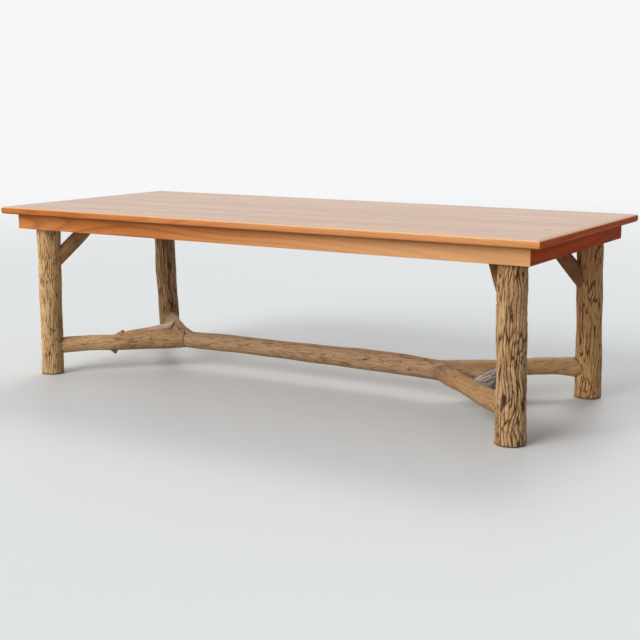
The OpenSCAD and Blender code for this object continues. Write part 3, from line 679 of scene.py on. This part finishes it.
# Where the crook, the fork of the right limbs and the rung lie along the table, in mm
crook_x, fork_x, rung_x = -690, 583, 845
main_turn = 35


def leg_seat(corner, girth, lower=0):
    """Station at a leg's middle line, at the stretchers' height or some mm lower."""
    place = leg_lines[corner][1]
    x, y = (np.interp(stretcher_z / 1000, place[:, 2], place[:, k]) * 1000 for k in (0, 1))
    return [x, y, stretcher_z - lower, girth]


def run(share, y, girth):
    """Station of the long stretcher at that share of the way from its crook to its fork."""
    return [crook_x + (fork_x - crook_x) * share, y, stretcher_z, girth]


def tight_bark(cells, pitch, deep, waves, seed):
    """Relief and crest of tight young bark: shallow long plates and faint lengthwise creases."""
    def bark(angle, way):
        plates, own = furrows(angle, way, cells, pitch, seed, 0.2)
        creases, depth = furrows(angle, way, cells * 2, pitch * 1.3, seed + 35, 0.2)
        hollow = smooth_rise(plates, 0.24, 0.02) * (0.4 + 0.6 * own)
        crease = smooth_rise(creases, 0.22, 0.02) * depth
        relief = -deep * (hollow * 0.6 + crease * 0.4) + swells(angle, way, waves, 0.22, seed + 3)
        return relief, 1 - np.clip(hollow * 0.5 + crease * 0.45, 0, 1)
    return bark


main_line = middle_line([
    leg_seat("rear_left", 80, 5), [crook_x - 190, 212, stretcher_z, 74], [crook_x, 42, stretcher_z, 76],
    [crook_x + 75, 5, stretcher_z, 76], run(0.28, 27, 76), run(0.51, 31, 79), run(0.71, 42, 86),
    run(0.86, 42, 89), run(1.0, 20, 81), [fork_x + 110, 6, stretcher_z, 75],
    [rung_x - 50, 14, stretcher_z, 71], [rung_x, 14, stretcher_z, 60]])
rung_line = middle_line([
    [rung_x + 8, -212, stretcher_z - 3, 77], [rung_x + 3, -70, stretcher_z - 3, 75],
    [rung_x - 2, 80, stretcher_z, 67], [rung_x - 7, 228, stretcher_z, 65]])
# Its coped ends at the leg and the rung are painted darker: painted shade in the joints
main_finish = bark_finish("bark_long_stretcher", (80, 58, 40), (142, 110, 78), (180, 146, 110), 0.2,
                          end_tone_and_shade=(96, 70, 46), worn=(0.0, 0.24, (104, 77, 50)), cracks=0.85,
                          painted_light_side=(-0.7, 0.7, (220, 188, 156), 0.8))
round_log("log_stretcher_main", main_line, main_turn, 128, 480,
          tight_bark(18, 0.075, 0.0014, 0.0006, 71), main_finish, ["stretcher_main"],
          start=coped(main_line, main_turn, leg_lines["rear_left"], leg_gap),
          end=coped(main_line, main_turn, rung_line, 0.0004, far_end=True))

# The front left limb: a pole with a burl at its right end, its bark worn pale by the leg, coped on
# the long stretcher and tenoned into the leg. A barkless branch was sawn off on a slant over the
# burl, and two snags are left of others.
front_left_turn = 80
front_left_line = middle_line([
    leg_seat("front_left", 72, 7), [crook_x - 275, -275, stretcher_z - 1, 71],
    [crook_x - 195, -205, stretcher_z - 2, 72], [crook_x - 110, -112, stretcher_z + 2, 88],
    [crook_x - 25, -42, stretcher_z + 1, 86], [crook_x + 46, 14, stretcher_z - 1, 72]])
# Its coped ends are painted near black: painted shade in the joints
front_left_finish = bark_finish("bark_front_left_limb", (98, 68, 42), (165, 127, 87), (202, 161, 117),
                                0.25, end_tone_and_shade=(44, 30, 22), worn=(0.10, 0.24, (226, 184, 136)),
                                cracks=0.9, grit=1.2)
front_left_scars = [(8, 0.428, 0.007, 0.008, -0.0025), (66, 0.420, 0.009, 0.0025, 0.0025)]
round_log("log_limb_front_left", front_left_line, front_left_turn, 120, 230,
          tight_bark(20, 0.055, 0.0022, 0.0010, 83), front_left_finish,
          ["limb_front_left"],
          start=coped(front_left_line, front_left_turn, leg_lines["front_left"], leg_gap),
          end=coped(front_left_line, front_left_turn, main_line, 0.0012, far_end=True, within=0.16),
          scars=front_left_scars, rim=0.004, end_tone_reach=0.014)
# The slanted sawn face is painted near black: a painted shadow between it and the crook
stump_finish = bark_finish("barkless_stump", (178, 140, 114), (216, 182, 156), (238, 212, 190), 0.0,
                           end_tone_and_shade=(30, 18, 12), worn=(0.0, 0.20, (192, 144, 92)))
stump_line = middle_line([
    [crook_x - 190, -206, stretcher_z + 2, 28], [crook_x - 168, -176, stretcher_z + 20, 46],
    [crook_x - 104, -91, stretcher_z + 36, 40], [crook_x - 33, 17, stretcher_z + 57, 35]])
cut_facing, cut_back = np.array((0.86, 0.42, -0.33)), 0.017


def sawn_slant(line, normal, back):
    """Where each line of a straight log's skin meets a slanted saw cut, whose face looks along the
    normal and whose middle lies that far back from the log's end. Gives a function of the angles."""
    def where(angle):
        cut_way = line[0][-1] - back
        centre = skin(line, np.full(1, cut_way), np.zeros(1), share=0.0)
        off = skin(line, np.full(len(angle), cut_way), angle) - centre
        heading = unit(line[1][-1] - line[1][-2])
        return cut_way - off @ normal / (heading @ normal)
    return where


round_log("sawn_off_branch", stump_line, 0, 64, 90, tight_bark(9, 0.06, 0.0012, 0.0003, 89),
          stump_finish, ["limb_front_left"], rim=0.0015,
          end=sawn_slant(stump_line, cut_facing, cut_back))
snag_finish = bark_finish("bark_snags", (84, 60, 42), (150, 116, 82), (188, 150, 114), 0.1,
                          end_tone_and_shade=(214, 184, 152))
# Each snag: its place, up or down, and its girth at each height off the stretchers' middle, in mm
snag_root = 17
snags = {"snag_above": (-187, -186, 1,
                        [(snag_root, 62), (26, 57), (33, 49), (38, 34), (42, 21), (46, 12), (50, 6)]),
         "snag_below": (-208, -218, -1,
                        [(snag_root, 64), (26, 57), (34, 48), (39, 34), (44, 23), (50, 15), (55, 10)])}
for name, (x, y, way_up, tiers) in snags.items():
    snag_line = middle_line([[crook_x + x + 0.2 * (rise - snag_root), y + 0.15 * (rise - snag_root),
                              stretcher_z + way_up * rise, girth] for rise, girth in tiers], upright=True)
    round_log(name, snag_line, 0, 60, 50, ridged_bark(9, 0.03, 0.0016, 0.0012, 91), snag_finish,
              ["limb_front_left"], rim=0.002)

# The front right limb: a smooth brown pole with a painted highlight along its upper side, coped on
# the long stretcher's front and tenoned into the front right leg; its left end is rounded over and
# duller.
front_right_turn = 150
front_right_line = middle_line([
    leg_seat("front_right", 74), [rung_x + 120, -308, stretcher_z - 3, 75],
    [rung_x - 43, -176, stretcher_z + 5, 71], [fork_x + 90, -60, stretcher_z + 3, 74],
    [fork_x + 4, 22, stretcher_z - 8, 48]])
smooth_finish = bark_finish("smooth_front_right_limb", (98, 70, 44), (150, 112, 72), (180, 140, 96), 0.05,
                            roughness=0.6, end_tone_and_shade=(132, 102, 74), grit=1.1,
                            painted_light_side=(0.5, 0.85, (214, 188, 158), 0.8),
                            worn=(front_right_line[0][-1], 0.24, (130, 101, 74)))
round_log("log_limb_front_right", front_right_line, front_right_turn, 112, 200,
          tight_bark(12, 0.16, 0.0007, 0.0006, 97), smooth_finish, ["limb_front_right"],
          start=coped(front_right_line, front_right_turn, leg_lines["front_right"], leg_gap),
          end=coped(front_right_line, front_right_turn, main_line, 0.001, far_end=True, within=0.2),
          rim=0.002)

# The rear right limb: reddish brown with fine bark, its upper side painted paler as a painted
# highlight, swelling to a rounded coped end on the rear right leg, its other end coped on the long
# stretcher's back. Its coped ends are painted dark as painted shade in the joints.
rear_right_turn = 10
rear_right_line = middle_line([
    leg_seat("rear_right", 92, 6), [rung_x + 145, 341, stretcher_z + 2, 70],
    [rung_x + 84, 301, stretcher_z + 3, 70], [rung_x - 20, 218, stretcher_z - 1, 66],
    [fork_x + 30, 68, stretcher_z - 1, 72], [fork_x - 20, 26, stretcher_z, 70]])
rear_right_finish = bark_finish("bark_rear_right_limb", (110, 74, 44), (178, 134, 86), (208, 164, 114),
                                end_tone_and_shade=(60, 40, 26), painted_light_side=(0.4, 0.9, (232, 208, 188), 1.5))
round_log("log_limb_rear_right", rear_right_line, rear_right_turn, 112, 210,
          tight_bark(18, 0.07, 0.0013, 0.0006, 103), rear_right_finish,
          ["limb_rear_right"],
          start=coped(rear_right_line, rear_right_turn, leg_lines["rear_right"], leg_gap),
          end=coped(rear_right_line, rear_right_turn, main_line, 0.001, far_end=True, within=0.2),
          rim=0.007, end_tone_reach=0.024)

# The rung: a short peeled pole between the two right limbs, coped and tenoned into both. Its
# barkless upper side has weathered silver in long streaks, partly a painted highlight; its
# underside is dark brown, and its coped ends are painted darker as painted shade.
rung_turn = 60
peeled_finish = bark_finish("peeled_rung", (82, 56, 40), (126, 92, 66), (164, 128, 98), 0.0,
                            end_tone_and_shade=(92, 66, 48), silver_and_highlight=0.9)
round_log("log_rung", rung_line, rung_turn, 104, 110,
          tight_bark(14, 0.12, 0.0010, 0.0005, 113), peeled_finish, ["rung"],
          start=coped(rung_line, rung_turn, front_right_line, 0.001),
          end=coped(rung_line, rung_turn, rear_right_line, 0.001, far_end=True))

# The braces: four short poles running up and inward at 45 degrees, coped and tenoned into the
# legs, sawn flat under the cleats and held there by one long screw each. The right ones are
# painted darker as painted shade, and all are painted dark at their coped ends as painted shade.
# Diameters at the leg, middle and head, and how far a brace's line runs past the cleats, in mm
brace_foot_d, brace_middle_d, brace_head_d, brace_over = 66, 62, 56, 56
# How far under the cleats each brace meets its leg, in mm, and how much steeper it runs
brace_drops = {"front_left": (208, 0.0), "front_right": (208, 0.0),
               "rear_left": (154, 0.0), "rear_right": (244, 0.2)}


def sawn_flat(line, turn, level):
    """Where each line of a log's skin first lies over a level: its head is sawn flat there. Gives a
    function of the angles."""
    def where(angle):
        way = line[0][:, None] + 0 * angle[None, :]
        height = skin(line, way, angle[None, :] + 0 * way, turn)[..., 2]
        over = np.argmax(height > level, axis=0)
        return line[0][np.where(over == 0, len(line[0]) - 1, over)]
    return where


brace_finish = bark_finish("smooth_brace", (88, 62, 38), (144, 108, 68), (178, 142, 98), 0.12,
                           end_tone_and_shade=(66, 46, 30))
shaded_brace_finish = bark_finish("smooth_brace_painted_shade", (72, 44, 22), (122, 80, 44), (152, 108, 66),
                                  0.05, end_tone_and_shade=(56, 38, 24))
for i, (corner, leg) in enumerate(legs.items()):
    drop, steeper = brace_drops[corner]
    place = leg_lines[corner][1] * 1000
    foot_z = cleat_z * 1000 - drop
    start = np.array([np.interp(foot_z, place[:, 2], place[:, k]) for k in (0, 1, 2)])
    heading = unit(np.array([-leg["side"][0], -leg["side"][1], (1 + steeper) * math.sqrt(2)]))
    at = lambda z: start + heading * (z - start[2]) / heading[2]
    line = middle_line([[*start, brace_foot_d], [*at(foot_z + drop / 2), brace_middle_d],
                        [*at(cleat_z * 1000), brace_head_d],
                        [*at(cleat_z * 1000 + brace_over), brace_head_d]])
    turn = 40 + 70 * i
    finish = shaded_brace_finish if corner.endswith("right") else brace_finish
    round_log(f"log_brace_{corner}", line, turn, 96, 110,
              tight_bark(14, 0.09, 0.0012, 0.0005, 131 + i), finish, [f"brace_{corner}"],
              start=coped(line, turn, leg_lines[corner], leg_gap),
              end=sawn_flat(line, turn, cleat_z), rim=0.004)

# The hardware: zinc-plated lag bolts with washers in the leg heads, and countersunk wood screws
# through cleats, battens and braces. All of it is under the top or behind the apron.


def zinc(name):
    """Plated steel: bluish grey with faint cloudy spangle in its colour and its gloss."""
    finish, shader, wire = new_finish(name)
    spangle = at_place(wire).stretched(300, 300, 300).cloud(2)
    spangle.paint(seen(168, 170, 174), seen(200, 202, 204)).into(shader, "Base Color")
    (0.32 + spangle * 0.2).into(shader, "Roughness")
    shader.inputs["Metallic"].default_value = 1.0
    return finish


cover(["leg_bolts", "leg_washers", "cleat_screws", "batten_screws", "brace_screws"],
      zinc("zinc_plated_steel"))

# The setting: a pale smooth floor that runs up into a white backdrop, soft light from high behind
# the table, a broad fill from the front left, an even pale sky, and the photograph's camera.


def seen_straight(wire):
    """1 on what the camera sees straight or in a gloss, 0 on what lights the table."""
    ray = lambda name: wire.node("LightPath", out=name)
    return (ray("Is Camera Ray") + ray("Is Glossy Ray") + ray("Is Transmission Ray")).math("MINIMUM", 1.0)


def sweep_floor():
    """A sheet 40 m wide and 46 m deep, turned to the camera, flat at height 0 and curved up like a
    parabola far behind the table. To the eye it fades to white from 4 to 11 m away; near the table
    it is pale and takes the shadows."""
    depth = np.linspace(-20, 26, 120)
    rise = np.maximum(depth - 14, 0) ** 2 / 12
    yaw = math.radians(31.3)
    points = np.stack([np.stack([x * math.cos(yaw) - depth * math.sin(yaw),
                                 x * math.sin(yaw) + depth * math.cos(yaw), rise], 1)
                       for x in (-20.0, 20.0)], 1)
    row = np.arange(len(depth) - 1)
    faces = np.stack([2 * row, 2 * row + 1, 2 * row + 3, 2 * row + 2], 1)
    mesh = bpy.data.meshes.new("pale_floor")
    mesh.from_pydata(points.reshape(-1, 3).tolist(), [], faces.tolist())
    mesh.polygons.foreach_set("use_smooth", [True] * len(mesh.polygons))
    finish, shader, wire = new_finish("pale_plain_floor", 0.3)
    seen_straight(wire).paint(seen(176, 177, 176), seen(234, 237, 237)).into(shader, "Base Color")
    shader.inputs["Roughness"].default_value = 0.5
    white = wire.node("Emission", {}, {"Color": seen(246, 247, 248), "Strength": 1.0})
    plain = Wire(finish.node_tree, shader.outputs[0])
    faded = at_place(wire).length().rise(4.0, 11.0) * seen_straight(wire)
    both = wire.node("MixShader", {}, {0: faded, 1: plain, 2: white})
    both.into(finish.node_tree.nodes["Material Output"], "Surface")
    mesh.materials.append(finish)
    floor = bpy.data.objects.new("pale_floor", mesh)
    bpy.context.scene.collection.objects.link(floor)


def soft_sun(name, azimuth, height, spread, power):
    """Even light from far off, that many degrees round from +X and up, from a patch of sky that wide."""
    lamp = bpy.data.lights.new(name, "SUN")
    lamp.angle, lamp.energy = math.radians(spread), power
    hung = bpy.data.objects.new(name, lamp)
    hung.rotation_euler = (math.radians(90 - height), 0, math.radians(azimuth + 90))
    bpy.context.scene.collection.objects.link(hung)


sweep_floor()
soft_sun("windows_behind", 101, 52, 22, 0.6)
soft_sun("fill_front_left", 250, 28, 40, 2.0)
world = bpy.data.worlds.new("pale_sky")
bpy.context.scene.world = world
world.use_nodes = True
sky = world.node_tree.nodes["Background"]
sky.inputs["Color"].default_value = seen(250, 251, 252)
over = Wire(world.node_tree)
from_right = over.node("TexCoord", out="Generated").part(0)
straight = seen_straight(over)
((0.48 - from_right * 0.36) * (1 - straight) + straight).into(sky, "Strength")

camera = bpy.data.cameras.new("camera")
camera.sensor_width, camera.lens = 36, 67.56
watcher = bpy.data.objects.new("camera", camera)
watcher.location = (2.630, -4.238, 1.195)
watcher.rotation_euler = (math.radians(79.57), 0, math.radians(31.29))
bpy.context.scene.collection.objects.link(watcher)
bpy.context.scene.camera = watcher
bpy.context.scene.view_settings.view_transform = "Standard"
